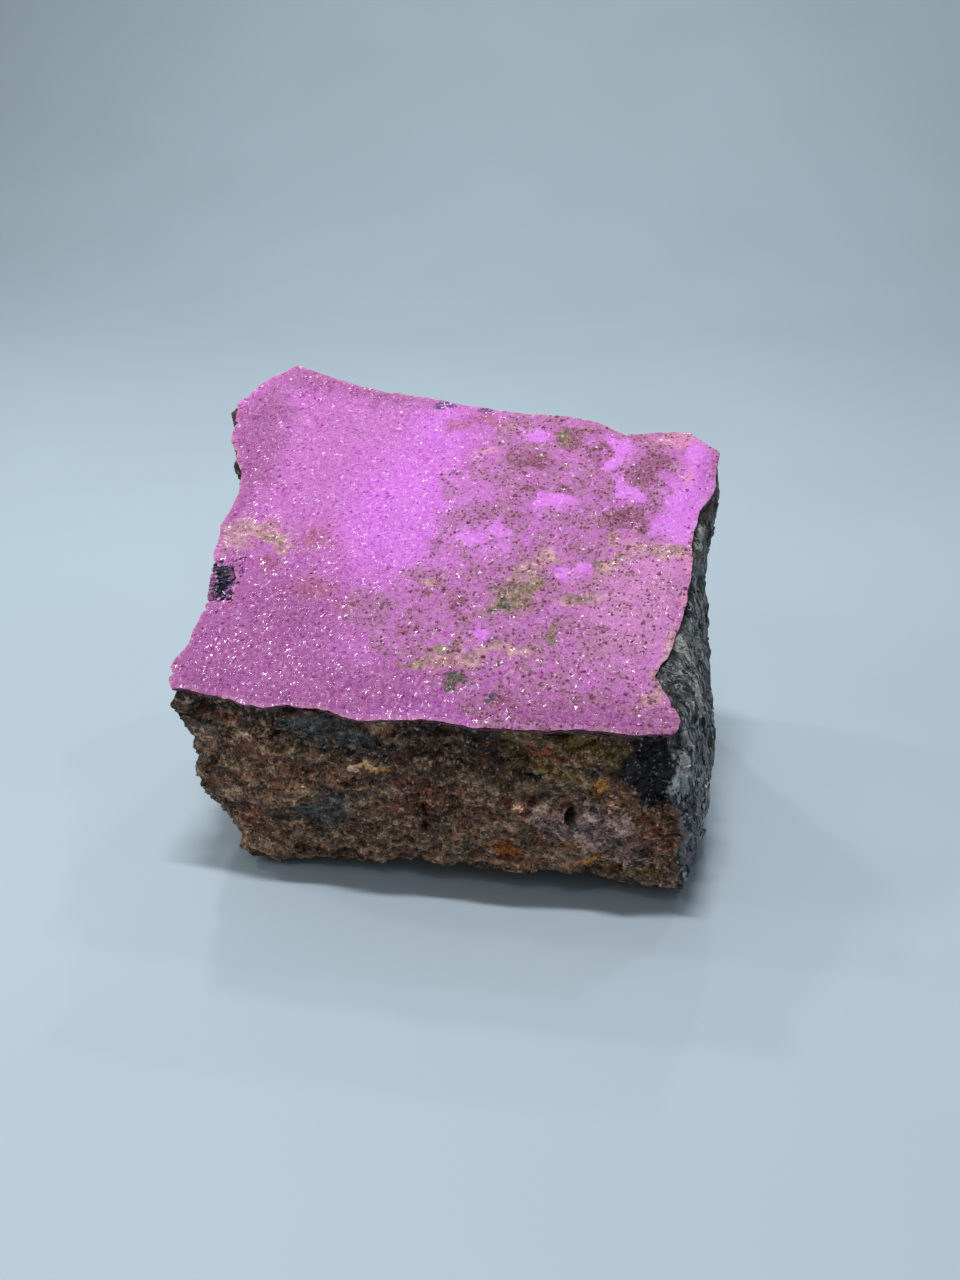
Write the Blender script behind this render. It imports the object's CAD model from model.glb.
import math
import random

import bmesh
import bpy
from mathutils import Matrix, Vector, noise
from mathutils.bvhtree import BVHTree
from mathutils.kdtree import KDTree


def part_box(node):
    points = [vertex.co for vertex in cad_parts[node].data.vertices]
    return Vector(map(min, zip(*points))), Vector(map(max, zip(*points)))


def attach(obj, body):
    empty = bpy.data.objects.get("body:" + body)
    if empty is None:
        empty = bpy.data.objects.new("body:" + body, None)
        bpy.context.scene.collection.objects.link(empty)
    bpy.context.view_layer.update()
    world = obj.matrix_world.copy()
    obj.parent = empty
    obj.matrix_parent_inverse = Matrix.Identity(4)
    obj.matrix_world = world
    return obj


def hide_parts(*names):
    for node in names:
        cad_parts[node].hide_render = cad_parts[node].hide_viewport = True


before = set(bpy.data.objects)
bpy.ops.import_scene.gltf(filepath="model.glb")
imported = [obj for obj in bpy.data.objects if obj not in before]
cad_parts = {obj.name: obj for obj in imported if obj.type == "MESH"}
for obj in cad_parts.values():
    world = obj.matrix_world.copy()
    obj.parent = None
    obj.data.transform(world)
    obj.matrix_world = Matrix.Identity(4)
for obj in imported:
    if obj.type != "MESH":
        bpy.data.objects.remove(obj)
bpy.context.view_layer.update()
noise.seed_set(221)    # without it the noise differs from run to run

# Every place below is in millimetres, from the middle of the block's front edge on the ground:
# x to the right, y back into the block, z up
mm = 0.001
crustLow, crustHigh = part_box("calcite_crust")
crustLeft, crustBack = -58.0, 92.4
frontMiddle = Vector((crustLow[0] / mm - crustLeft, crustHigh[1] / mm - crustBack, 0))
bedTilt = math.radians(24)
bedFront = 42.6
bedUp = Vector((0, -math.sin(bedTilt), math.cos(bedTilt)))


def bedHeight(y):
    return bedFront + math.tan(bedTilt) * y


def ramp(value, start, end):
    # 0 up to start, 1 from end on, straight in between
    return min(1, max(0, (value - start) / (end - start)))


# Node helpers

def addNode(kind, links, **settings):
    # it goes into the tree of the sockets that it is linked to
    tree = next(value for value in links.values() if isinstance(value, bpy.types.NodeSocket)).id_data
    node = tree.nodes.new(kind)
    for name, value in settings.items():
        setattr(node, name, value)
    for key, value in links.items():
        if isinstance(value, bpy.types.NodeSocket):
            tree.links.new(value, node.inputs[key])
        else:
            node.inputs[key].default_value = value
    return node


def calc(operation, first, second=0.0, clamp=False):
    node = addNode("ShaderNodeMath", {0: first, 1: second}, operation=operation)
    node.use_clamp = clamp
    return node.outputs[0]


def plus(first, second):
    return calc("ADD", first, second)


def minus(first, second, clamp=False):
    return calc("SUBTRACT", first, second, clamp)


def times(first, second, clamp=False):
    return calc("MULTIPLY", first, second, clamp)


def blend(mask, under, over, how="MIX"):
    colors = {key: (*value, 1) if isinstance(value, tuple) else value
              for key, value in ((6, under), (7, over))}
    node = addNode("ShaderNodeMix", {0: mask, **colors}, data_type="RGBA", blend_type=how)
    return node.outputs[2]


def fade(value, start, end):
    # smooth step from 0 at start to 1 at end
    links = {"Value": value, "From Min": start, "From Max": end}
    return addNode("ShaderNodeMapRange", links, interpolation_type="SMOOTHSTEP").outputs[0]


def scaled(place, factors):
    return addNode("ShaderNodeVectorMath", {0: place, 1: factors}, operation="MULTIPLY").outputs[0]


def cloud(place, size, detail=2.0, roughness=0.5):
    links = {"Vector": place, "Scale": 1.0, "Detail": detail, "Roughness": roughness}
    if isinstance(size, tuple):
        links["Vector"] = scaled(place, tuple(1 / part for part in size))
    else:
        links["Scale"] = 1 / size
    return addNode("ShaderNodeTexNoise", links).outputs[0]


def carried(tree, name, output="Fac"):
    # what the mesh's own layer of that name holds
    node = tree.nodes.new("ShaderNodeAttribute")
    node.attribute_name = name
    return node.outputs[output]


def newGroup(name, inputs, outputs):
    tree = bpy.data.node_groups.new(name, "ShaderNodeTree")
    kinds = {"value": "NodeSocketFloat", "place": "NodeSocketVector"}
    for socket, kind in inputs.items():
        tree.interface.new_socket(name=socket, in_out="INPUT", socket_type=kinds[kind])
    for socket, kind in outputs.items():
        tree.interface.new_socket(name=socket, in_out="OUTPUT", socket_type=kinds[kind])
    return tree, tree.nodes.new("NodeGroupInput").outputs, tree.nodes.new("NodeGroupOutput").inputs


def placeGroup(group, links):
    return addNode("ShaderNodeGroup", links, node_tree=group).outputs


def wander(place, size, reach):
    # shifts places about, so that shapes drawn on them are ragged
    field = addNode("ShaderNodeTexNoise", {"Vector": place, "Scale": 1 / size, "Detail": 3.0})
    links = {0: field.outputs["Color"], 1: (reach, reach, reach), 2: place}
    return addNode("ShaderNodeVectorMath", links, operation="MULTIPLY_ADD").outputs[0]


def makeGrainGroup():
    # packed mineral grains, each with its own tone, and the distance from its middle
    tree, given, out = newGroup("mineral grains", {"Place": "place", "Size": "value"},
                                {"Tone": "value", "Second Tone": "value", "Height": "value"})
    scale = calc("DIVIDE", 1.0, given["Size"])
    cells = addNode("ShaderNodeTexVoronoi", {"Vector": given["Place"], "Scale": scale})
    tones = addNode("ShaderNodeSeparateColor", {0: cells.outputs["Color"]})
    tree.links.new(tones.outputs[0], out["Tone"])
    tree.links.new(tones.outputs[1], out["Second Tone"])
    tree.links.new(minus(1.0, cells.outputs["Distance"], True), out["Height"])
    return tree


def makeSpeckGroup():
    # scattered specks: Share is how many of the cells hold one
    inputs = {"Place": "place", "Size": "value", "Share": "value", "Radius": "value"}
    tree, given, out = newGroup("specks", inputs, {"Mask": "value"})
    scale = calc("DIVIDE", 1.0, given["Size"])
    cells = addNode("ShaderNodeTexVoronoi", {"Vector": given["Place"], "Scale": scale})
    tones = addNode("ShaderNodeSeparateColor", {0: cells.outputs["Color"]})
    held = calc("LESS_THAN", tones.outputs[0], given["Share"])
    radius = times(given["Radius"], plus(0.5, tones.outputs[1]))
    near = fade(cells.outputs["Distance"], radius, times(radius, 0.55))
    tree.links.new(times(near, held), out["Mask"])
    return tree


grainGroup = makeGrainGroup()
speckGroup = makeSpeckGroup()


def markMasks(tree, marks, fray, soft=(), layerName="marks"):
    # the painted marks as masks, with their edges frayed, or faded out where they are soft
    masks = {}
    for number, name in enumerate(marks):
        if number % 3 == 0:
            painted = carried(tree, f"{layerName} {number // 3}", "Vector")
            parts = addNode("ShaderNodeSeparateXYZ", {0: painted}).outputs
        start, end = (0.05, 1.0) if name in soft else (0.32, 0.68)
        masks[name] = fade(plus(parts[number % 3], fray), start, end)
    return masks


def shaded(color, shade):
    grey = addNode("ShaderNodeCombineColor", {0: shade, 1: shade, 2: shade}).outputs[0]
    return blend(1.0, color, grey, "MULTIPLY")


def newMaterial(name, **values):
    material = bpy.data.materials.new(name)
    material.use_nodes = True
    shader = material.node_tree.nodes["Principled BSDF"]
    for key, value in values.items():
        shader.inputs[key.replace("_", " ")].default_value = value
    return material, material.node_tree, shader


def blockPlace(tree):
    # the place on the block in millimetres
    coords = tree.nodes.new("ShaderNodeTexCoord")
    mapping = {"Vector": coords.outputs["Object"], "Location": (-frontMiddle.x, -frontMiddle.y, 0),
               "Scale": (1 / mm, 1 / mm, 1 / mm)}
    return addNode("ShaderNodeMapping", mapping).outputs[0]


def aboveBed(parts):
    # how high a place lies above the bedding plane under the druse
    return minus(parts["Z"], plus(times(parts["Y"], math.tan(bedTilt)), bedFront))


def addBump(shader, height, strength, distance):
    bump = addNode("ShaderNodeBump", {"Strength": strength, "Distance": distance, "Height": height})
    shader.id_data.links.new(bump.outputs[0], shader.inputs["Normal"])


# Mesh helpers

markWaves = ((5.5, 2.8), (2.1, 1.5))       # how ragged the marks are: size and reach of each wave


def alongLine(line, at):
    # the height of a line of points at a place along it
    for (start, low), (end, high) in zip(line, line[1:]):
        if start <= at < end:
            return low + (at - start) / (end - start) * (high - low)
    return line[-1][1] if at >= line[-1][0] else line[0][1]


def ovalShare(ovals):
    # how deep a place lies in the ovals: 1 well inside, 0.5 on an edge, 0 well outside
    shapes = []
    for *shape, turn in [oval if len(oval) > 4 else (*oval, 0) for oval in ovals]:
        shapes.append((*shape, math.cos(math.radians(turn)), math.sin(math.radians(turn))))

    def share(x, y):
        best = 0.0
        for across, along, halfAcross, halfAlong, cosine, sine in shapes:
            dx, dy = x - across, y - along
            reach = math.hypot((cosine * dx + sine * dy) / halfAcross, (cosine * dy - sine * dx) / halfAlong)
            best = max(best, 1.5 - reach)
        return min(1.0, best)
    return share


def strayed(place, waves):
    # a place shifted by noise: the size and the reach of each wave
    return place + sum((noise.noise_vector(place / size) * reach for size, reach in waves), Vector())


def paintMarks(bm, marks, axes, strength, layerName="marks"):
    # writes every mark's share to the corners, three marks to a layer
    shares = [ovalShare(ovals) for ovals in marks.values()]
    layerCount = math.ceil(len(shares) / 3)
    layers = [bm.verts.layers.float_vector.new(f"{layerName} {number}") for number in range(layerCount)]
    for vert in bm.verts:
        part = strength(vert.co)
        if part > 0:
            place = strayed(vert.co, markWaves)
            values = [part * share(place[axes[0]], place[axes[1]]) for share in shares] + [0, 0]
            for number, layer in enumerate(layers):
                vert[layer] = values[3 * number:3 * number + 3]


def nodeMesh(name):
    # a copy of a CAD node's mesh in block millimetres, its corners merged
    bm = bmesh.new()
    bm.from_mesh(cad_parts[name].data)
    bmesh.ops.scale(bm, vec=(1 / mm, 1 / mm, 1 / mm), verts=bm.verts)
    bmesh.ops.translate(bm, vec=-frontMiddle, verts=bm.verts)
    bmesh.ops.remove_doubles(bm, verts=bm.verts, dist=0.001)
    return bm


def meshBox(bm):
    axes = list(zip(*(vert.co for vert in bm.verts)))
    return Vector([min(axis) for axis in axes]), Vector([max(axis) for axis in axes])


def newObject(name, data):
    made = bpy.data.objects.new(name, data)
    bpy.context.collection.objects.link(made)
    return made


def meshObject(name, bm):
    mesh = bpy.data.meshes.new(name)
    bm.to_mesh(mesh)
    bm.free()
    return newObject(name, mesh)


def finishPiece(bm, name, material, node):
    if bm.calc_volume(signed=True) < 0:    # the faces look inward
        bmesh.ops.reverse_faces(bm, faces=bm.faces)
    bmesh.ops.translate(bm, vec=frontMiddle, verts=bm.verts)
    bmesh.ops.scale(bm, vec=(mm, mm, mm), verts=bm.verts)
    piece = meshObject(name, bm)
    piece.data.materials.append(material)
    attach(piece, "root")
    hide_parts(node)
    triangles = sum(len(face.vertices) - 2 for face in piece.data.polygons)
    print(f"{name}: {triangles} triangles")


# Druse of pink calcite

druseLooks = {
    "pitch": 0.66,             # between the corners that the crystals stand on
    "stray": 0.34,             # share of the pitch that those corners stray
    "sizeSwing": (9.0, 1.5),   # crystals swell and shrink over this many mm, by up to this shift
    "crystalHeight": (0.02, 0.118),        # of a crystal as wide as the pitch
    "tallHeight": (0.2, 0.4),              # of the few that stand out
    "tallShare": (0.045, 0.012),           # how many do, at the left and the front, and elsewhere
    "tallBorder": (-14, 6),    # the x and the y up to which the left and the front reach
    "windowHeight": 0.75,      # share of that height in the smooth windows
    "lean": 0.22,              # how far a tip strays, as a share of the crystal's size
    "edge": 1.1,               # thickness at the rim
    "middle": (1.2, 1.0),      # thickness inside, and how much it swells
    "swellSize": 14.0,
    "rimWidth": 4.0,
    "rimStray": 0.2,
    "rimHeights": (0.85, 0.4),
    "rimUneven": (0.35, 1.6),  # by how much those vary, and over how many mm
    "rimTint": 1.1,            # how far in from the outline the rim's color reaches
    "raised": 0.3,             # the whole crust above the bed
    "usualSize": 0.38,         # of a crystal as wide as the pitch, across the circle that its foot holds
    "edgeWaves": ((1.3, 0.22), (3.6, 0.5)),    # how uneven its outline is, and the border of the grains
    "grainWaves": ((6, 2.6), (2, 2.0)),
    "grainBorder": (-1.5, 3.5),            # between what distances to the right of it they set in
    "seed": 11,
}
# ovals on the druse: x, y, half size in x and in y, and the turn in degrees of those that have one
druseMarks = {
    "violet": [
        (-8, 48, 17, 20), (-7, 70, 8, 8), (8, 41, 10, 5, 12), (22, 50.8, 8, 4), (34, 65.5, 4, 6, -5),
        (38.5, 54.5, 5, 3.4, -15), (50.5, 51, 7, 11, 10), (53, 62, 4, 12), (26.6, 33.2, 4.4, 2.4, 15),
        (11.4, 16, 3, 1.8, 5), (15.5, 71.5, 4, 3.4)],
    "rose": [(-38, 12, 22, 20), (-20, 3, 30, 7), (-50, 62, 7, 24), (-30, 86, 20, 6, -10), (30, 0, 30, 4)],
    "pale": [(42, 25, 12, 15), (44, 36, 12, 6)],
    "windows": [
        (34, 66, 2.7, 4.6, -5), (33.6, 62, 1.4, 3.4, -25), (38.5, 54.5, 3.4, 2.3, -15),
        (36.4, 58.6, 1.5, 2.6, 20), (51, 52, 4.4, 7, 10), (47.6, 45.6, 3.4, 3.4, 30), (52, 67.6, 1.8, 2.2),
        (21, 50.8, 3.6, 1.8, 10), (25, 51.6, 2.4, 1.2), (26.2, 32.6, 2, 1.3, 15), (28.6, 34.2, 1.4, 1, 15),
        (4, 39.8, 3.6, 1.6, 8), (11, 41.6, 3, 1.6, 25), (11.4, 16, 2.2, 1.1, 5), (15.5, 71.5, 2.4, 2)],
    "clean": [(49, 13, 3, 12, 8), (32, -0.5, 20, 1.8, -2), (54, 58, 4, 12)],
    "clusters": [
        (23.4, 70.5, 3.4, 3, -15), (29, 72.5, 4, 1.6, -8), (13.8, 62.9, 6, 2.3), (25.3, 54.6, 4.4, 1.6, -20),
        (17, 54, 2.4, 1.2), (41.1, 61, 5.6, 3, 15), (45, 65, 3, 1.6, 20), (38, 46.6, 6, 2.6, -5),
        (8.6, 18.3, 1.4, 0.9), (5.7, 22.9, 2.6, 0.8, 15), (-3, 24.6, 3, 1.3, -10), (16, 0.8, 2.4, 1),
        (34.4, 19.1, 3, 1), (31, 66, 3, 2.6, -20), (-12, 29.5, 2.2, 0.8, 20), (-5, 14, 1.2, 1),
        (20, 13.4, 2, 0.9)],
    "smudge": [
        (-28.6, 37.6, 5.6, 4.4), (-26, 24.8, 4.8, 3.2, -10), (-19, 21, 3, 1.4), (-3, 72, 5, 1.8, -8),
        (5, 74.5, 6, 2, -8), (-38, 29.5, 2.5, 0.9, 10), (40, 72, 5, 1.4)],
    "olive": [
        (14.4, 25.6, 3.9, 4.6, -25), (18.8, 28.4, 3, 1.8, 20), (29, 27, 2.8, 1.4, 15), (-39, 36.4, 3.2, 1.2),
        (24.5, 17.1, 1.6, 2.6, -10), (2.3, 11.7, 3.2, 0.8, 15), (-1.5, 7.5, 2.4, 1.6), (31.5, 35, 2.2, 1),
        (23, 71, 1.6, 2.2)],
    "darkGreen": [(6.1, 4.1, 2, 2.5), (12.8, 23.6, 1.5, 2.2)],
    "cream": [
        (-43.6, 38, 7.5, 4, 6), (-35.6, 34.6, 1.2, 3.4, 12), (-38.6, 37.6, 4, 2.4), (6.5, 10.2, 9, 1.9, 14),
        (0.5, 7.4, 3.6, 1.4, 10), (16, 12.6, 5, 1.5, 12), (21.6, 36.2, 3.4, 1.8, 30),
        (17.6, 31.2, 3.8, 1.5, 20), (-1.3, 28, 2, 1), (46.7, 40.2, 7, 1.3, 6), (35, 35.4, 4.6, 2, 34),
        (50.2, 16, 1.8, 6, 10), (47, 7, 2, 3), (10.6, 75, 1.8, 1.8), (30, 25.2, 4, 1.2, 15),
        (36, 41.6, 2, 2)],
    "peach": [
        (49.2, 71.5, 6, 2.6, 10), (52.4, 60.8, 1.5, 3), (4.6, 65.2, 3.4, 1.4, 20), (22.6, 37, 2, 1),
        (52.6, 34, 1, 12), (11, 74, 3, 1.2), (-3.5, 60, 1.2, 0.8)],
    "blue": [
        (-7.8, 79.8, 2.6, 1.4, -12), (2.3, 77.8, 2.2, 1.3, -10), (14.1, 14.5, 1, 0.6), (18.4, -0.8, 1, 0.6),
        (15.5, 1.2, 0.8, 0.7), (-45.6, 27, 1.4, 2), (-45.8, 23.6, 1.2, 1.2)],
}
# where the brown grains begin: y, and x there
druseGrains = [(-5, 12), (3.3, 2.3), (9.3, -8), (16.7, -19), (23, -19), (27, -13), (30.7, -10), (35.6, -4.3),
               (45, -3.5), (57, -5), (62, 0), (68, 4), (80, 7), (95, 8)]


def hitFromAbove(surface, x, y):
    overEverything = 200
    return surface.ray_cast(Vector((x, y, overEverything)), Vector((0, 0, -1)))[0]


def isUnder(surface, x, y):
    # whether a CAD node lies under or over a place in plan
    return hitFromAbove(surface, x, y) is not None


def isWellUnder(surface, x, y, margin):
    ways = ((margin, 0), (-margin, 0), (0, margin), (0, -margin))
    return all(isUnder(surface, x + dx, y + dy) for dx, dy in ways)


def aside(rng):
    return Vector((rng.uniform(-1, 1), rng.uniform(-1, 1), 0))


def clipToNode(bm, surface):
    # keeps what lies in the plan of a CAD node, and no corner that two of its edges share
    away = [vert for vert in bm.verts if not isUnder(surface, vert.co.x, vert.co.y)]
    while away:
        bmesh.ops.delete(bm, geom=away, context="VERTS")
        away = [vert for vert in bm.verts
                if not vert.link_faces or sum(edge.is_boundary for edge in vert.link_edges) > 2]


def reachToEdge(bm, surface, pitch):
    # slides the outer corners out to the nearest edge of the node's plan
    step = 0.07
    turns = [math.radians(degrees) for degrees in range(0, 360, 15)]
    ways = [Vector((math.cos(turn), math.sin(turn), 0)) for turn in turns]
    rim = [vert for vert in bm.verts if any(edge.is_boundary for edge in vert.link_edges)]
    moves = {}
    for vert in rim:
        best, moves[vert] = 2 * pitch, Vector()
        for way in ways:
            reach = 0.0
            while reach < best and isUnder(surface, vert.co.x + reach * way.x, vert.co.y + reach * way.y):
                reach += step
            if reach < best:
                best, moves[vert] = reach, way * reach
    for vert, move in moves.items():
        vert.co += move
    evened = {}
    for vert in rim:
        beside = [edge.other_vert(vert).co for edge in vert.link_edges if edge.is_boundary]
        uneven = strayed(vert.co, druseLooks["edgeWaves"]) - vert.co
        uneven.z = 0
        evened[vert] = (2 * vert.co + sum(beside, Vector())) / (2 + len(beside)) + uneven
    for vert, place in evened.items():
        vert.co = place
    inner = {edge.other_vert(vert) for vert in rim for edge in vert.link_edges} - set(rim)
    for _ in range(2):
        bmesh.ops.smooth_vert(bm, verts=list(inner), factor=0.5, use_axis_x=True, use_axis_y=True)


def strewnGrid(low, high, rng):
    # a grid over the box's plan, with its corners strewn about
    look = druseLooks
    pitch, spare = look["pitch"], 8
    columns = math.ceil((high.x - low.x) / pitch) + spare
    rows = math.ceil((high.y - low.y) / pitch) + spare
    bm = bmesh.new()
    bm.faces.layers.float.new("tone")    # made first, because a new layer drops the faces that lists hold
    bm.verts.layers.float.new("rim")
    bmesh.ops.create_grid(bm, x_segments=columns, y_segments=rows, size=0.5)
    middle = (low + high) / 2
    swingSize, swing = look["sizeSwing"]
    for vert in bm.verts:
        column, row = vert.co.x * columns, vert.co.y * rows
        place = Vector((column + 0.5 * (round(row + rows / 2) % 2), row, 0)) * pitch
        place += aside(rng) * look["stray"] * pitch
        place += noise.noise_vector(place / swingSize) * swing
        vert.co = Vector((middle.x + place.x, middle.y + place.y, 0))
    return bm


def addRim(bm, rng):
    # lifts the grid to the crust's height and takes its outline down to the bed in two rough steps
    look = druseLooks
    atRim = bm.verts.layers.float["rim"]
    rim = KDTree(len(bm.verts))
    for vert in bm.verts:
        if any(edge.is_boundary for edge in vert.link_edges):
            rim.insert(vert.co, vert.index)
    rim.balance()
    ground = list(bm.verts)
    rows = []
    outer = [edge for edge in bm.edges if edge.is_boundary]
    for _ in look["rimHeights"]:
        made = bmesh.ops.extrude_edge_only(bm, edges=outer)["geom"]
        rows.append([item for item in made if isinstance(item, bmesh.types.BMVert)])
        outer = [item for item in made if isinstance(item, bmesh.types.BMEdge) and item.is_boundary]
    thin, (thick, swell) = look["edge"], look["middle"]
    uneven, unevenSize = look["rimUneven"]
    for vert in ground:
        away = rim.find(vert.co)[2]
        inner = ramp(away, 0, look["rimWidth"])
        vert[atRim] = ramp(away, look["rimTint"], 0)
        vert.co.z = bedHeight(vert.co.y)
        waves = 0.5 + 0.5 * noise.noise(vert.co / look["swellSize"])
        vert.co += bedUp * (look["raised"] + thin + (thick + swell * waves - thin) * inner)
    for height, row in zip(look["rimHeights"], rows):
        for vert in row:
            vert[atRim] = 1.0
            stray = aside(rng) * look["rimStray"]
            vert.co.z = bedHeight(vert.co.y) + height + uneven * noise.noise(vert.co / unevenSize)
            vert.co += stray
    return outer


def byPlace(faces):
    # extruded faces come in another order on each run, and this one is always the same
    return sorted(faces, key=lambda face: face.calc_center_median()[:])


def growCrystals(bm, topFaces, rng):
    # each triangle of the top grows into a crystal of three faces
    look = druseLooks
    tone = bm.faces.layers.float["tone"]
    skirt = [face for face in bm.faces if len(face.verts) == 4]
    skirt = bmesh.ops.triangulate(bm, faces=skirt)["faces"]
    bm.normal_update()
    for face in byPlace(skirt):
        face[tone] = rng.uniform(0, 0.6)
    sizes = [4 * face.calc_area() / face.calc_perimeter() for face in topFaces]
    tips = bmesh.ops.poke(bm, faces=topFaces)["verts"]
    manyTall, fewTall = look["tallShare"]
    tallLeft, tallFront = look["tallBorder"]
    for tip, size in zip(tips, sizes):
        x, y = tip.co.x, tip.co.y
        isTall = rng.random() < (manyTall if x < tallLeft or y < tallFront else fewTall)
        if any(math.hypot((x - midX) / halfX, (y - midY) / halfY) < 1
               for midX, midY, halfX, halfY, *_ in druseMarks["windows"]):
            isTall = False
            size *= look["windowHeight"]
        height = rng.uniform(*look["tallHeight" if isTall else "crystalHeight"])
        lean = aside(rng) * look["lean"] * size
        tip.co += bedUp * height * size / look["usualSize"] + lean
        crystalTone = rng.random()
        for face in tip.link_faces:
            face[tone] = crystalTone


def makeDruse():
    rng = random.Random(druseLooks["seed"])
    solid = nodeMesh("calcite_crust")
    surface = BVHTree.FromBMesh(solid)
    bm = strewnGrid(*meshBox(solid), rng)
    solid.free()
    clipToNode(bm, surface)
    reachToEdge(bm, surface, druseLooks["pitch"])
    bmesh.ops.triangulate(bm, faces=bm.faces, quad_method="BEAUTY")
    topFaces = list(bm.faces)
    foot = addRim(bm, rng)
    growCrystals(bm, topFaces, rng)
    bmesh.ops.triangle_fill(bm, use_beauty=True, edges=foot)
    bmesh.ops.recalc_face_normals(bm, faces=bm.faces)
    for number, face in enumerate(byPlace(bm.faces)):
        face.index = number
    bm.faces.sort()
    return bm, surface


def paintDruse(bm):
    paintMarks(bm, druseMarks, (0, 1), lambda place: 1.0)
    grains = bm.verts.layers.float.new("grains")
    for vert in bm.verts:
        place = strayed(vert.co, druseLooks["grainWaves"])
        vert[grains] = ramp(place.x - alongLine(druseGrains, place.y), *druseLooks["grainBorder"])


druseColors = {
    # shares of red, green and blue, without gamma
    "rose": (0.315, 0.078, 0.262),
    "orchid": (0.465, 0.126, 0.45),
    "violet": (0.565, 0.15, 0.62),
    "pale": (0.72, 0.33, 0.6),
    "frost": (0.8, 0.5, 0.8),
    "rim": (0.58, 0.3, 0.38),
    "haze": (0.28, 0.118, 0.17),
    "window": (0.61, 0.17, 0.68),
    "speck": (0.105, 0.006, 0.03),
    "clusters": (0.18, 0.042, 0.062),
    "smudge": (0.3, 0.078, 0.125),
    "skirt": (0.1, 0.03, 0.03),
    "olive": (0.275, 0.205, 0.11),
    "oliveDark": (0.125, 0.098, 0.03),
    "darkGreen": (0.035, 0.055, 0.012),
    "cream": (0.55, 0.37, 0.31),
    "tan": (0.29, 0.165, 0.115),
    "peach": (0.72, 0.3, 0.4),
    "blue": (0.025, 0.02, 0.08),
}


def druseMaterial():
    color = druseColors
    material, tree, shader = newMaterial(
        "pink calcite druse", IOR=1.52, Specular_IOR_Level=0.38, Subsurface_Weight=0.7,
        Subsurface_Scale=0.0013, Subsurface_Radius=(1.0, 0.5, 1.0))
    place = blockPlace(tree)
    crumbs = cloud(place, 0.9, 3.0, 0.65)
    drift = cloud(place, 9.0, 3.0)
    fray = plus(times(crumbs, 0.9), times(drift, 0.4))
    marks = markMasks(tree, druseMarks, minus(fray, 0.65),
                      ("violet", "rose", "pale", "clean", "smudge", "cream", "peach", "olive"))

    # the calcite's own pinks
    pink = blend(times(marks["rose"], 0.9), color["orchid"], color["rose"])
    pink = blend(marks["violet"], pink, color["violet"])
    atRim = carried(tree, "rim")
    edge = times(atRim, fade(crumbs, 0.34, 0.62))
    pink = blend(times(edge, 0.7), pink, color["rim"])

    # brown grains, with a haze of the finest ones between them
    rough = minus(1.0, marks["windows"])
    inGrains = carried(tree, "grains")
    dust = fade(plus(inGrains, minus(fray, 0.65)), 0.2, 0.8)
    clean = calc("MAXIMUM", marks["windows"], marks["clean"])
    dust = times(dust, minus(1.0, times(clean, 0.88)))
    thick = fade(cloud(place, 4.5, 4.0, 0.6), 0.38, 0.62)
    haze = times(dust, plus(0.19, times(thick, 0.46)))
    pink = blend(haze, pink, color["haze"])
    pink = blend(times(marks["pale"], 0.3), pink, color["pale"])
    pink = blend(times(marks["windows"], 0.5), pink, color["window"])
    share = times(dust, plus(0.12, times(thick, 0.56)))
    share = plus(plus(share, 0.004), times(marks["clusters"], 0.35))
    ragged = wander(place, 0.4, 0.65)
    fine = placeGroup(speckGroup, {"Place": ragged, "Size": 0.72, "Share": share, "Radius": 0.46})
    fewer = times(share, 0.5)
    large = placeGroup(speckGroup, {"Place": ragged, "Size": 1.35, "Share": fewer, "Radius": 0.34})
    specks = calc("MAXIMUM", fine["Mask"], large["Mask"])

    # stains and other minerals
    tone = carried(tree, "tone")
    mottle = cloud(place, 1.6, 3.0, 0.6)
    spots = fade(mottle, 0.42, 0.62)
    mixed = {"cream": blend(spots, color["tan"], color["cream"]),
             "olive": blend(spots, color["oliveDark"], color["olive"])}
    broken = fade(crumbs, 0.32, 0.6)
    smooth = fade(crumbs, 0.2, 0.56)
    for name, strength, texture in (
            ("clusters", 0.85, broken), ("smudge", 0.68, smooth), ("peach", 0.5, smooth),
            ("cream", 0.8, smooth), ("olive", 1.0, smooth), ("darkGreen", 0.95, smooth),
            ("blue", 0.92, broken)):
        cover = times(times(marks[name], texture), strength)
        pink = blend(cover, pink, mixed.get(name, color[name]))

    # each crystal has its own shade, and a few are frosted
    shade = plus(times(tone, 0.1), times(mottle, 0.34))
    pink = shaded(pink, plus(shade, 0.78))
    frosty = times(fade(tone, 0.9, 1.0), 0.4)
    pink = blend(frosty, pink, color["frost"])
    pink = blend(times(specks, 0.9), pink, color["speck"])

    # the underside of the rim is brown
    parts = addNode("ShaderNodeSeparateXYZ", {0: place}).outputs
    pink = blend(fade(aboveBed(parts), 1.15, 0.7), pink, color["skirt"])
    tree.links.new(pink, shader.inputs["Base Color"])

    # some crystals are clear enough to glint, most of them where there are no grains
    dull = plus(0.4, times(mottle, 0.2))
    clear = calc("GREATER_THAN", tone, plus(0.6, times(inGrains, 0.25)))
    clear = times(clear, rough)
    finish = addNode("ShaderNodeMix", {0: clear, 2: dull, 3: 0.14}).outputs[0]
    tree.links.new(finish, shader.inputs["Roughness"])
    facets = cloud(place, 0.3, 2.0, 0.6)
    addBump(shader, facets, 0.3, 0.0001)
    return material


druse, druseSurface = makeDruse()
paintDruse(druse)
druseTop = BVHTree.FromBMesh(druse)
finishPiece(druse, "pink_druse", druseMaterial(), "calcite_crust")


# Black crystals in the bay at the left edge

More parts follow.
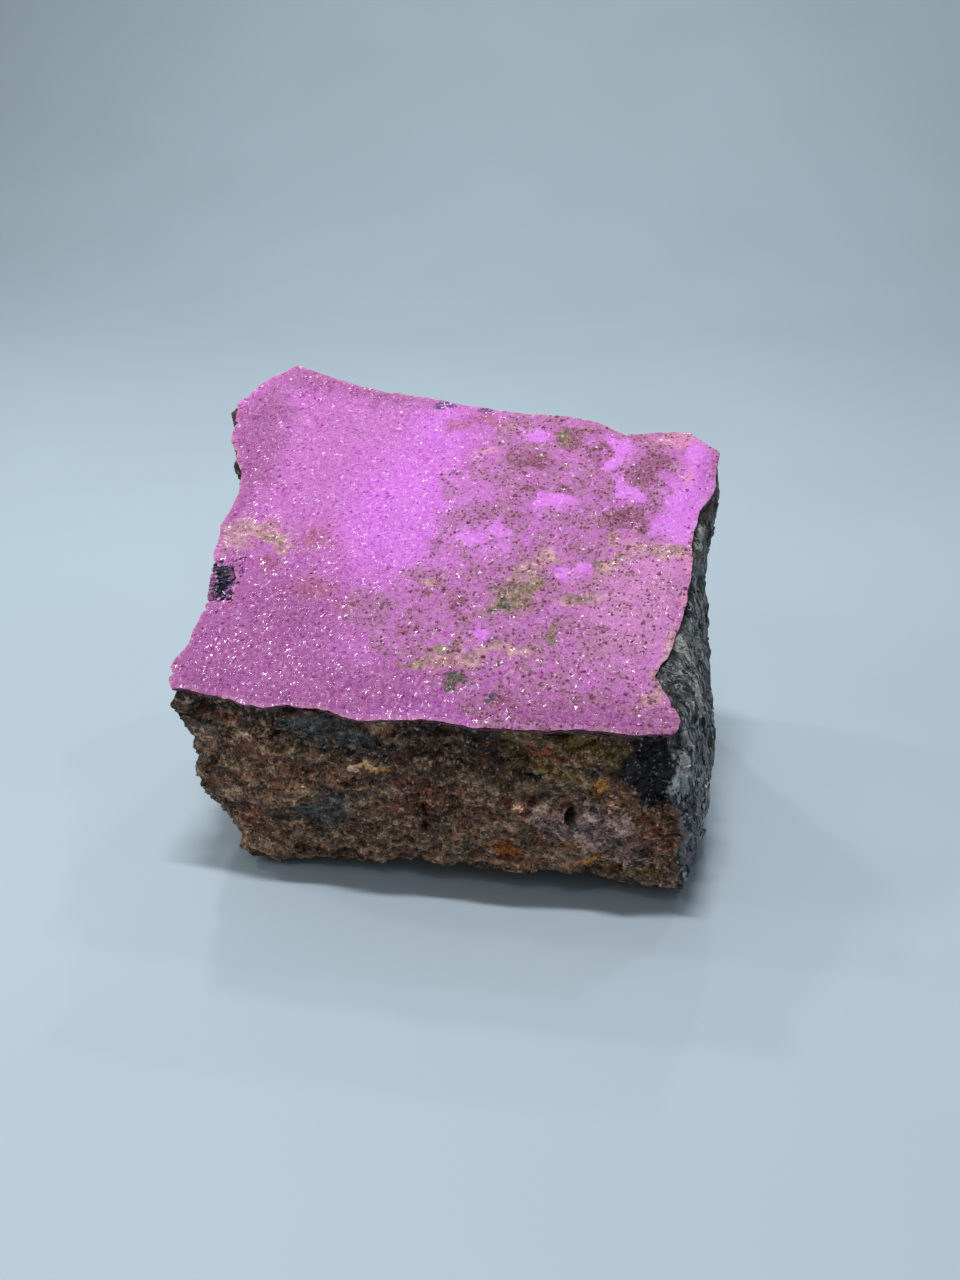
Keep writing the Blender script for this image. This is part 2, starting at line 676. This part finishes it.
blackLooks = {
    "count": 300,
    "size": (0.45, 1.05),
    "stray": 0.9,             # how far the small ones lie out from the bay
    "straySize": 0.6,
    "strayShare": 0.3,        # of the places outside the bay that get one
    "sunk": 0.25,             # how deep they sit, as a share of their size
    "margin": 0.8,            # the outer part of the bay, where most are pink
    "pinkShare": (0.66, 0.08),             # how many are, in that part and inside
    "lean": 0.7,              # how far they tilt, in radians
    "black": ((0.006, 0.006, 0.016), (0.025, 0.022, 0.075)),
    "pink": (0.42, 0.13, 0.38),
    "seed": 5,
}
pinkTone = 2.0                # the tones of the black ones lie between 0 and 1


def blackMaterial():
    material, tree, shader = newMaterial("black crystals", IOR=1.5, Coat_Roughness=0.05)
    place = blockPlace(tree)
    tone = carried(tree, "tone")
    color = blend(fade(tone, 0.2, 1.0), *blackLooks["black"])
    dust = placeGroup(speckGroup, {"Place": place, "Size": 0.8, "Share": 0.25, "Radius": 0.55})["Mask"]
    isPink = fade(tone, 1.4, 1.6)
    pinkShare = calc("MAXIMUM", times(dust, 0.6), isPink)
    color = blend(pinkShare, color, blackLooks["pink"])
    tree.links.new(color, shader.inputs["Base Color"])
    worn = cloud(place, 0.4, 3.0)
    tree.links.new(plus(0.2, times(worn, 0.4)), shader.inputs["Roughness"])
    tree.links.new(times(worn, 0.15), shader.inputs["Coat Weight"])
    addBump(shader, worn, 0.2, 0.0001)
    return material


def makeBlackCrystals():
    look = blackLooks
    rng = random.Random(look["seed"])
    solid = nodeMesh("black_crystals")
    surface = BVHTree.FromBMesh(solid)
    low, high = meshBox(solid)
    tone = solid.faces.layers.float.new("tone")
    atMargin, inside = look["pinkShare"]
    made = 0
    while made < look["count"]:
        x = rng.uniform(low.x - look["stray"], high.x + look["stray"])
        y = rng.uniform(low.y - look["stray"], high.y + look["stray"])
        hit = hitFromAbove(surface, x, y)
        # a few smaller ones lie on the druse around the bay
        onDruse = hit is None
        if onDruse and rng.random() < look["strayShare"]:
            hit = hitFromAbove(druseTop, x, y)
        if hit is None:
            continue
        size = rng.uniform(*look["size"]) * (look["straySize"] if onDruse else 1)
        turn = Matrix.Rotation(rng.uniform(0, math.tau), 4, "Z")
        for axis in "XY":
            turn = turn @ Matrix.Rotation(rng.uniform(-look["lean"], look["lean"]), 4, axis)
        shape = Matrix.Diagonal((rng.uniform(0.5, 1), rng.uniform(0.5, 1), rng.uniform(0.7, 1.2), 1))
        place = Matrix.Translation(hit - bedUp * look["sunk"] * size)
        block = bmesh.ops.create_cube(solid, size=size, matrix=place @ turn @ shape)
        crystalTone = rng.random()
        isInside = isWellUnder(surface, x, y, look["margin"])
        if not onDruse and rng.random() < (inside if isInside else atMargin):
            crystalTone = pinkTone
        for face in {face for vert in block["verts"] for face in vert.link_faces}:
            face[tone] = crystalTone
        made += 1
    return solid


finishPiece(makeBlackCrystals(), "black_cluster", blackMaterial(), "black_crystals")


# Host rock

rockLooks = {
    "voxel": 0.9,             # size of the faces on the left and the back
    "lumps": (0.85, (4.6, 4.6, 3.0)),      # depth, and size in x, y, z
    "slabs": (2.5, (11, 11, 6)),           # tilted faces of the front
    "chips": (1.25, (2.6, 2.6, 1.8)),
    "crumbs": (0.42, (1.1, 1.1, 0.85)),
    "grains": (0.2, (0.6, 0.6, 0.55)),
    "layers": (0.35, 5.2, 9.0),            # depth, height of a layer, length over which it wanders
    # lower edge of the dark band under the druse, as x and z, and how far the band lies back
    "band": [(-60, 38), (-50, 38), (-41, 37.5), (-30, 35), (-22, 32.5), (-10, 31.8), (5, 30.5), (16, 31),
             (24, 30), (33, 33), (42, 31.5), (50, 27), (70, 27)],
    "bandDepth": 1.0,
    "bandWaves": (1.6, 3.0),  # how far its edge strays, and over how many mm
    "raisedBed": 0.6,         # the rock's own height above the bed, under the druse
    # how far the schist swells out at half height, as y and depth
    "schistSwell": [(0, 3.2), (20, 3.4), (30, 2.6), (47, 1.2), (52, 0.3), (56, -1.1), (61, -2.3), (70, -1.6),
                    (80, 0.5)],
    # flat sided chunks of the back: depth, size, and the y from where to where they set in
    "blocks": (3.6, (17, 17, 12), (30, 55)),
    "splinters": (1.4, (8, 4.0, 11)),      # of the schist
    "slivers": (0.8, (5, 1.9, 6.5)),
    "fibres": (0.28, (3, 0.8, 4.5)),
    "lean": 0.16,             # how far these lean back, per mm of height
    # bulges and hollows of the front left corner: z, half height, depth
    "corner": [(38, 3.2, 1.6), (29, 4.0, -1.8), (18.5, 4.0, 1.8), (7.2, 3.6, 0.9)],
    "waist": (62, 13, 2.3),   # hollow of the left wall under the druse: y, half length, depth
    "undercut": 4.4,          # how far the left wall lies back under its upper edge
    # x, z, half width, half height and depth
    "pits": [(31.0, 21.8, 1.0, 1.9, 3.0), (1.4, 16.0, 0.85, 0.95, 2.2), (37.2, 21.5, 0.6, 0.6, 1.0)],
    # from where to where a wall counts as one, as the part of its direction to the right, up the bed or down
    "schistFacing": (0.45, 0.7),
    "bedFacing": (0.75, 0.95),
    "footFacing": (0.6, 0.9),
}


def stretched(place, size):
    return Vector((place.x / size[0], place.y / size[1], place.z / size[2]))


def flakes(spot):
    # flat sided relief: each cell owns a small tilted plane
    owner = noise.voronoi(spot)[1][0]
    return 0.5 * noise.noise(owner * 5.1) + (spot - owner).dot(noise.noise_vector(owner * 3.7))


def lumpy(spot):
    return noise.fractal(spot, 1.0, 2.0, 3)


def reliefOf(name, place, form=flakes):
    depth, size = rockLooks[name]
    return depth * form(stretched(place, size))


def bandShare(place):
    # 1 in the dark band below the druse on the front face, 0 under it
    reach, size = rockLooks["bandWaves"]
    edge = alongLine(rockLooks["band"], place.x) + reach * noise.noise(Vector((place.x / size, 0, 3)))
    return ramp(place.z - edge, -0.6, 0.6)


def brokenRelief(place, crumbly):
    # lumps, chips and grains of a wall broken across the bedding, with the edges of its layers
    relief = reliefOf("lumps", place, lumpy) + (0.5 + 0.5 * crumbly) * reliefOf("chips", place)
    relief += crumbly * (reliefOf("crumbs", place) + reliefOf("grains", place, noise.noise))
    depth, height, length = rockLooks["layers"]
    waves = noise.noise(Vector((place.x / length, place.y / length, place.z / 9)))
    layer = (place.z / height + 1.4 * waves) % 1.0
    return relief + depth * (layer ** 3 - 0.25)


def schistRelief(place):
    # upright splinters, slivers and fibres
    lean = Vector((place.x, place.y + rockLooks["lean"] * place.z, place.z))
    return reliefOf("splinters", lean) + reliefOf("slivers", lean) + reliefOf("fibres", lean, lumpy)


def evenMesh(name, size):
    # a CAD node's mesh with faces of one size
    blank = meshObject("blank", nodeMesh(name))
    remesh = blank.modifiers.new("even faces", "REMESH")
    remesh.mode = "VOXEL"
    remesh.voxel_size = size
    bpy.context.view_layer.update()
    even = bpy.data.meshes.new_from_object(blank.evaluated_get(bpy.context.evaluated_depsgraph_get()))
    bpy.data.objects.remove(blank, do_unlink=True)
    bm = bmesh.new()
    bm.from_mesh(even)
    bpy.data.meshes.remove(even)
    bm.normal_update()
    return bm


def sizeFaces(bm):
    # the underside and the bed under the druse are plain, and the front and the right get faces half as large
    hidden = {face for face in bm.faces if face.normal.z < -0.98 or face.normal.dot(bedUp) > 0.96
              and isWellUnder(druseSurface, face.verts[0].co.x, face.verts[0].co.y, 3)}
    plainEdges = [edge for edge in bm.edges if all(face in hidden for face in edge.link_faces)]
    plainVerts = [vert for vert in bm.verts if all(face in hidden for face in vert.link_faces)]
    bmesh.ops.dissolve_limit(bm, angle_limit=math.radians(12), verts=plainVerts, edges=plainEdges)
    seen = [face for face in bm.faces if face.normal.y < -0.45 or face.normal.x > 0.45]
    seenEdges = list({edge for face in seen for edge in face.edges})
    bmesh.ops.subdivide_edges(bm, edges=seenEdges, cuts=1, use_grid_fill=True)
    bmesh.ops.triangulate(bm, faces=[face for face in bm.faces if len(face.verts) > 4])


def leftWallShift(place, out, onBed):
    # how far the waist, the corner's bulges and the undercut move the left wall in x
    look = rockLooks
    shift = 0
    if place.x < -48:
        y, halfLength, depth = look["waist"]
        shift += depth * max(0, 1 - (abs(place.y - y) / halfLength) ** 2)
    if place.x < -38 and onBed < 0.5:
        atCorner = ramp(place.x, -38, -44) * ramp(place.y, 16, 8)
        for z, halfHeight, depth in look["corner"]:
            shift -= depth * atCorner * math.exp(-((place.z - z) / halfHeight) ** 2)
        below = ramp(bedHeight(place.y) - place.z, 4.5, 9.5) * min(1, place.z / 25)
        shift += look["undercut"] * below * ramp(abs(place.y - 64), 16, 0) * ramp(out.x, 0, -0.5)
    return shift


def makeRock():
    look = rockLooks
    bm = evenMesh("matrix_rock", look["voxel"])
    layers = [bm.verts.layers.float.new(name) for name in ("schist", "band", "hole", "ledge")]
    schist, band, hole, ledge = layers
    sizeFaces(bm)

    # which way each corner faces, evened out over its neighbours
    facing = {vert: vert.normal.copy() for vert in bm.verts}
    for _ in range(5):
        sums = {vert: sum((facing[edge.other_vert(vert)] for edge in vert.link_edges), facing[vert])
                for vert in bm.verts}
        facing = {vert: way.normalized() for vert, way in sums.items()}
    moves = {}
    for vert in bm.verts:
        out = facing[vert]
        isSchist = ramp(out.x, *look["schistFacing"])
        if out.z > 0.5 and vert.co.x > 43:
            isSchist = 1
        onBed = ramp(out.dot(bedUp), *look["bedFacing"])
        onFoot = ramp(-out.z, *look["footFacing"])
        if vert.co.z < 0.4:
            onFoot = 1
        relief = 0
        if isSchist < 1:
            relief += (1 - isSchist) * brokenRelief(vert.co, max(0.2, ramp(out.y, 0, -0.45)))
            depth, size, begins = look["blocks"]
            atBack = ramp(vert.co.y, *begins) * ramp(out.y, 0, 0.3)
            relief += depth * atBack * (flakes(stretched(vert.co, size)) - 0.2)
            relief += ramp(out.y, 0, -0.5) * reliefOf("slabs", vert.co)
        if isSchist > 0:
            relief += isSchist * schistRelief(vert.co)
        if out.y < -0.5:
            vert[band] = bandShare(vert.co)
            near = ramp(bedHeight(vert.co.y) - vert.co.z, 0, 2) * ramp(vert.co.x, -49, -43)
            relief -= look["bandDepth"] * (vert[band] * near - 0.35)
            for x, z, halfWidth, halfHeight, depth in look["pits"]:
                reach = math.hypot((vert.co.x - x) / halfWidth, (vert.co.z - z) / halfHeight)
                if reach < 1.2:
                    relief -= depth * ramp(reach, 1.2, 0.9)
                    vert[hole] = ramp(reach, 1.2, 1.0)
        vert[schist] = isSchist
        vert[ledge] = isSchist * ramp(out.z, 0.25, 0.55)
        if isSchist > 0:
            swell = alongLine(look["schistSwell"], vert.co.y)
            relief += swell * isSchist * math.sin(math.pi * min(1, vert.co.z / bedHeight(vert.co.y)))
        move = out * relief * (1 - onFoot) * (1 - 0.9 * onBed) + bedUp * look["raisedBed"] * onBed
        if onFoot < 1:
            move.x += leftWallShift(vert.co, out, onBed)
        moves[vert] = move
    for vert, move in moves.items():
        vert.co += move
    bmesh.ops.recalc_face_normals(bm, faces=bm.faces)
    paintMarks(bm, rockMarks, (0, 2), lambda place: ramp(place.y, 9, 4))
    paintMarks(bm, schistMarks, (1, 2), lambda place: ramp(place.x, 46, 50), layerName="schist marks")
    return bm


rockColors = {
    "dark": (0.043, 0.026, 0.018),
    "brown": (0.22, 0.095, 0.041),
    "tan": (0.44, 0.242, 0.124),
    "cream": (0.86, 0.6, 0.4),
    "grey": (0.207, 0.137, 0.089),
    "rust": (0.22, 0.05, 0.019),
    "black": (0.008, 0.008, 0.01),
    "blueGrey": (0.075, 0.082, 0.082),
    "lilac": (0.66, 0.42, 0.39),
    "ochre": (0.58, 0.25, 0.04),
    "orange": (0.58, 0.16, 0.012),
    "olive": (0.22, 0.135, 0.028),
    "red": (0.46, 0.13, 0.08),
    "slate": (0.053, 0.058, 0.062),
    "slateLight": (0.6, 0.61, 0.62),
    "slateDark": (0.007, 0.008, 0.009),
    "slatePink": (0.16, 0.1, 0.1),
    "slateFlake": (0.5, 0.51, 0.45),
    "glint": (0.72, 0.66, 0.6),
    "seam": (0.05, 0.014, 0.011),
}
# on the front face: x, z, half size in x and in z, turn
rockMarks = {
    "dark": [
        (-38, 41, 15, 4, -4), (-22, 38, 14, 4.5, -14), (5, 35, 15, 5, -6), (20, 39, 30, 3.4),
        (-5, 33.5, 12, 2.5, -8), (-28, 37.3, 9, 1.8, -22), (-15, 33, 7, 1.5, -10)],
    "blueGrey": [
        (-20.3, 16.5, 6, 4.4), (-18.6, 20.3, 4, 2, 20), (-20, 38.5, 5.5, 2.4, -10), (-13, 36.5, 5, 1.8, -10)],
    "tan": [
        (-34, 32, 9, 3.6, -8), (-6.6, 38.6, 3.8, 2.8), (-28, 24, 11, 4.4, -10), (-34, 8, 10, 4),
        (-12, 6.5, 10, 2.5), (12, 21.8, 8, 4), (22, 12, 16, 4)],
    "lilac": [(35, 20, 9, 5.5), (40, 13, 8, 4), (26, 22, 3, 2.5), (-12, 5, 6, 2)],
    "rust": [
        (1.4, 22, 8, 4.5), (-7, 27.4, 8, 1.8), (-34.7, 14.5, 4, 3.4), (-30, 29, 12, 1.2, -12), (47, 17, 5, 4),
        (18, 24.5, 7, 2)],
    "ochre": [(36.6, 30, 2.7, 1.4, 8), (50, 25.7, 2.8, 0.9), (35.4, 9.2, 4, 1), (-9.2, 30.7, 4, 1)],
    "olive": [
        (19.2, 35, 2.2, 3), (30.8, 38, 6, 2.4), (38, 36, 6, 2.6, 20), (21, 38, 4, 2.4), (44, 7, 8, 1.4),
        (27, 33, 5, 2, -10)],
    "orange": [(17.8, 10.6, 2.8, 2.2)],
    "red": [(24.6, 36, 1.8, 1), (19.4, 17.9, 1.7, 1), (1.6, 25, 2, 0.8)],
    "cream": [(-11.2, 30.7, 3, 1, 6), (25.8, 22.5, 1.2, 1.3), (-37, 34, 3, 1.6)],
    "black": [(47.5, 35, 6.5, 6.5), (49, 29, 4.6, 4), (50.5, 39, 5, 2.4), (24, 30.5, 1.6, 0.9)],
}
# on the right side: y, z, half size in y and in z, turn
schistMarks = {
    "flakes": [
        (19.3, 49.5, 3.8, 1.5, 51), (38.5, 55.5, 5.2, 1.6, 3), (47.8, 61.8, 3.4, 1.5, 23),
        (14, 40, 1.2, 3.6, 8), (30, 47, 1.2, 4.2, -10)],
}


def rockMaterial():
    color = rockColors
    material, tree, shader = newMaterial("host rock", IOR=1.52, Specular_IOR_Level=0.42)
    place = blockPlace(tree)
    parts = addNode("ShaderNodeSeparateXYZ", {0: place}).outputs
    ragged = wander(place, 0.8, 0.4)
    coarse = placeGroup(grainGroup, {"Place": ragged, "Size": 1.7})
    grains = placeGroup(grainGroup, {"Place": ragged, "Size": 0.85})
    fine = placeGroup(grainGroup, {"Place": place, "Size": 0.42})

    # brown, grey and tan lumps along the bedding
    bands = cloud(place, (13, 13, 5.0), 4.0, 0.6)
    streaks = cloud(place, (3.6, 3.6, 2.0), 4.0, 0.68)
    base = blend(fade(bands, 0.4, 0.6), color["brown"], color["grey"])
    base = blend(times(fade(streaks, 0.5, 0.64), 0.75), base, color["tan"])
    inBand = carried(tree, "band")
    base = blend(times(inBand, fade(streaks, 0.6, 0.42)), base, color["dark"])
    fray = plus(times(streaks, 0.8), times(grains["Tone"], 0.3))
    fray = minus(fray, 0.55)
    marks = markMasks(tree, rockMarks, fray)
    for name, strength in (("lilac", 0.78), ("dark", 0.6), ("tan", 0.72), ("blueGrey", 0.78), ("rust", 0.7),
                           ("olive", 0.6), ("ochre", 0.6), ("cream", 0.8)):
        base = blend(times(marks[name], strength), base, color[name])
    # dark beds on the sides away from the front
    beds = fade(cloud(place, (40, 40, 5.5), 3.0, 0.6), 0.48, 0.58)
    beds = times(beds, fade(parts["Y"], 6.0, 16.0))
    base = blend(times(beds, 0.62), base, color["dark"])

    # grains of quartz, feldspar and dark minerals, with dark gaps between them
    light = times(fade(grains["Tone"], 0.66, 0.92), 0.62)
    base = blend(light, base, blend(0.5, base, color["cream"]))
    rusty = times(fade(coarse["Tone"], 0.78, 0.88), 0.5)
    base = blend(rusty, base, color["rust"])
    darker = times(fade(coarse["Second Tone"], 0.34, 0.16), 0.5)
    darker = calc("MAXIMUM", darker, times(fade(grains["Tone"], 0.3, 0.1), 0.7))
    base = blend(darker, base, color["dark"])
    sunk = fade(cloud(ragged, 1.3, 4.0, 0.7), 0.46, 0.34)
    base = blend(times(sunk, 0.5), base, color["dark"])
    grainy = plus(0.4, fine["Tone"])
    for name, strength in (("blueGrey", 0.6), ("olive", 0.4), ("ochre", 0.55), ("cream", 0.35),
                           ("orange", 0.75), ("red", 0.75), ("black", 1.6)):
        cover = times(times(marks[name], grainy), strength, True)
        base = blend(cover, base, color[name])
    glassy = times(fade(fine["Second Tone"], 0.9, 0.99), 0.4)
    base = blend(glassy, base, color["glint"])
    skin = times(fade(parts["X"], -47.0, -52.0), fade(streaks, 0.66, 0.46))
    base = blend(times(skin, 0.85), base, color["dark"])
    clumps = fade(cloud(place, (6.0, 6.0, 2.6), 3.0, 0.6), 0.36, 0.64)
    shade = plus(times(fine["Tone"], 0.88), times(clumps, 0.98))
    base = shaded(base, plus(0.11, shade))

    hole = carried(tree, "hole")
    base = blend(times(hole, 0.95), base, color["black"])

    # dark upright schist of the right side
    isSchist = carried(tree, "schist")
    lean = addNode("ShaderNodeVectorRotate", {"Vector": ragged, "Angle": math.radians(-9)},
                   rotation_type="X_AXIS").outputs[0]
    threads = cloud(lean, (1.8, 1.0, 6.5), 4.0, 0.65)
    glossy = cloud(lean, (1.2, 0.9, 3.0), 2.0, 0.6)
    splinters = placeGroup(grainGroup, {"Place": scaled(lean, (0.45, 0.8, 0.2)), "Size": 1.0})
    sheets = cloud(place, (9.0, 12.0, 9.0), 3.0, 0.55)
    slate = blend(fade(threads, 0.4, 0.58), color["slateDark"], color["slate"])
    pale = times(fade(threads, 0.5, 0.66), fade(sheets, 0.36, 0.6))
    flaked = times(fade(splinters["Tone"], 0.7, 0.95), 0.4)
    flaked = calc("MAXIMUM", flaked, times(fade(glossy, 0.6, 0.66), 0.8))
    pale = calc("MAXIMUM", times(pale, 0.66), flaked)
    slate = blend(pale, slate, color["slateLight"])
    shards = placeGroup(grainGroup, {"Place": scaled(lean, (1.0, 1.0, 0.36)), "Size": 0.45})
    flecks = times(fade(shards["Tone"], 0.82, 0.92), fade(sheets, 0.36, 0.62))
    slate = blend(times(flecks, 0.75), slate, color["slateLight"])
    patches = fade(cloud(lean, (10.0, 9.0, 22.0), 3.0, 0.55), 0.36, 0.64)
    slate = shaded(slate, plus(0.68, times(patches, 0.62)))
    stained = times(fade(parts["Z"], 50.0, 64.0), fade(sheets, 0.42, 0.56))
    slate = blend(times(stained, 0.6), slate, color["slatePink"])
    ledge = carried(tree, "ledge")
    slate = blend(times(ledge, 0.55), slate, color["slateDark"])
    onSchist = markMasks(tree, schistMarks, fray, layerName="schist marks")
    flake = times(onSchist["flakes"], fade(threads, 0.36, 0.54))
    slate = blend(times(flake, 0.8), slate, color["slateFlake"])
    schistMask = fade(plus(isSchist, times(streaks, 0.3)), 0.45, 0.75)
    base = blend(schistMask, base, slate)

    # reddish brown line where the druse meets the rock
    line = times(fade(aboveBed(parts), -2.0, -0.4), fade(streaks, 0.3, 0.5))
    line = times(line, minus(1.0, schistMask))
    base = blend(times(line, 0.75), base, color["seam"])
    tree.links.new(base, shader.inputs["Base Color"])

    finish = plus(0.42, times(grains["Second Tone"], 0.4))
    finish = minus(finish, times(schistMask, 0.14))
    tree.links.new(finish, shader.inputs["Roughness"])
    height = plus(times(grains["Height"], 0.6), times(fine["Height"], 0.4))
    height = minus(height, times(sunk, 0.4))
    fibrous = plus(times(threads, 1.6), times(fine["Height"], 0.4))
    height = addNode("ShaderNodeMix", {0: schistMask, 2: height, 3: fibrous}).outputs[0]
    addBump(shader, height, 0.9, 0.0005)
    return material


finishPiece(makeRock(), "host_rock", rockMaterial(), "matrix_rock")


# Floor, light and camera

stageLooks = {
    "floor": (0.37, 0.46, 0.52),
    "world": ((0.9, 0.94, 1.0), 0.19),
    "bend": (0.45, 0.4),       # how far behind the block the floor starts to rise, and the radius (m)
    "aim": (0, 0, 0.06),       # what the lamps point at (m)
    "cameraPlace": (39.03, -187.77, 160),
    "cameraTurn": (62, 0, 8),  # degrees
    "cameraLens": 1150 * 36 / 1280,        # mm, on a sensor 36 mm high
}
# where each lamp hangs (m), its sides (m), power (W) and color
lamps = {
    "long key": ((-0.02, -0.03, 0.8), (0.22, 0.025), 4.2, (1.0, 0.98, 1.0)),
    "soft fill": ((-0.35, 0.25, 1.25), (1.0, 0.8), 3.0, (0.95, 0.98, 1.0)),
    "low left": ((-0.45, -0.12, 0.22), (0.12, 0.12), 0.42, (0.95, 0.98, 1.0)),
    "spark left": ((-0.3, 0.5, 0.72), (0.055, 0.055), 1.1, (1, 1, 1)),
    "spark far left": ((-0.55, 0.1, 0.6), (0.045, 0.045), 0.6, (1, 1, 1)),
    "spark right": ((0.3, 0.42, 0.8), (0.04, 0.04), 0.6, (0.96, 0.97, 1.0)),
    "spark front": ((-0.05, -0.3, 0.85), (0.03, 0.03), 0.4, (1, 1, 1)),
    "spark back": ((0.05, 0.62, 0.6), (0.03, 0.03), 0.5, (1.0, 0.98, 0.95)),
}


def makeStage():
    # one sheet, flat under the block and bent up far behind it
    bm = bmesh.new()
    bmesh.ops.create_grid(bm, x_segments=4, y_segments=160, size=3.0)
    start, radius = stageLooks["bend"]
    for vert in bm.verts:
        past = vert.co.y - start
        if past > 0:
            angle = min(past / radius, math.pi / 2)
            vert.co.y = start + radius * math.sin(angle)
            vert.co.z = radius * (1 - math.cos(angle)) + max(0, past - radius * math.pi / 2)
    for face in bm.faces:
        face.smooth = True
    floor = meshObject("floor", bm)
    material, tree, shader = newMaterial("pale floor", Roughness=0.6)
    place = blockPlace(tree)
    tint = blend(fade(cloud(place, 120.0, 2.0), 0.3, 0.7), stageLooks["floor"],
                 tuple(0.96 * part for part in stageLooks["floor"]))
    tree.links.new(tint, shader.inputs["Base Color"])
    floor.data.materials.append(material)

    world = bpy.data.worlds.new("studio")
    bpy.context.scene.world = world
    world.use_nodes = True
    worldColor, strength = stageLooks["world"]
    background = world.node_tree.nodes["Background"]
    background.inputs["Color"].default_value = (*worldColor, 1)
    background.inputs["Strength"].default_value = strength
    for name, (place, sides, power, color) in lamps.items():
        light = bpy.data.lights.new(name, "AREA")
        light.shape = "RECTANGLE"
        light.size, light.size_y = sides
        light.energy = power
        light.color = color
        lamp = newObject(name, light)
        lamp.location = place
        away = (Vector(place) - Vector(stageLooks["aim"])).normalized()
        side = (Vector((1, 0, 0)) - away * away.x).normalized()
        lamp.rotation_euler = Matrix((side, away.cross(side), away)).transposed().to_euler()


def makeCamera():
    lens = bpy.data.cameras.new("camera")
    lens.sensor_width = 36
    lens.lens = stageLooks["cameraLens"]
    lens.clip_start = 0.01
    camera = newObject("camera", lens)
    camera.location = (Vector(stageLooks["cameraPlace"]) + frontMiddle) * mm
    camera.rotation_euler = [math.radians(turn) for turn in stageLooks["cameraTurn"]]
    bpy.context.scene.camera = camera
    bpy.context.scene.view_settings.view_transform = "Standard"


makeStage()
makeCamera()
print("stage, light and camera are set")
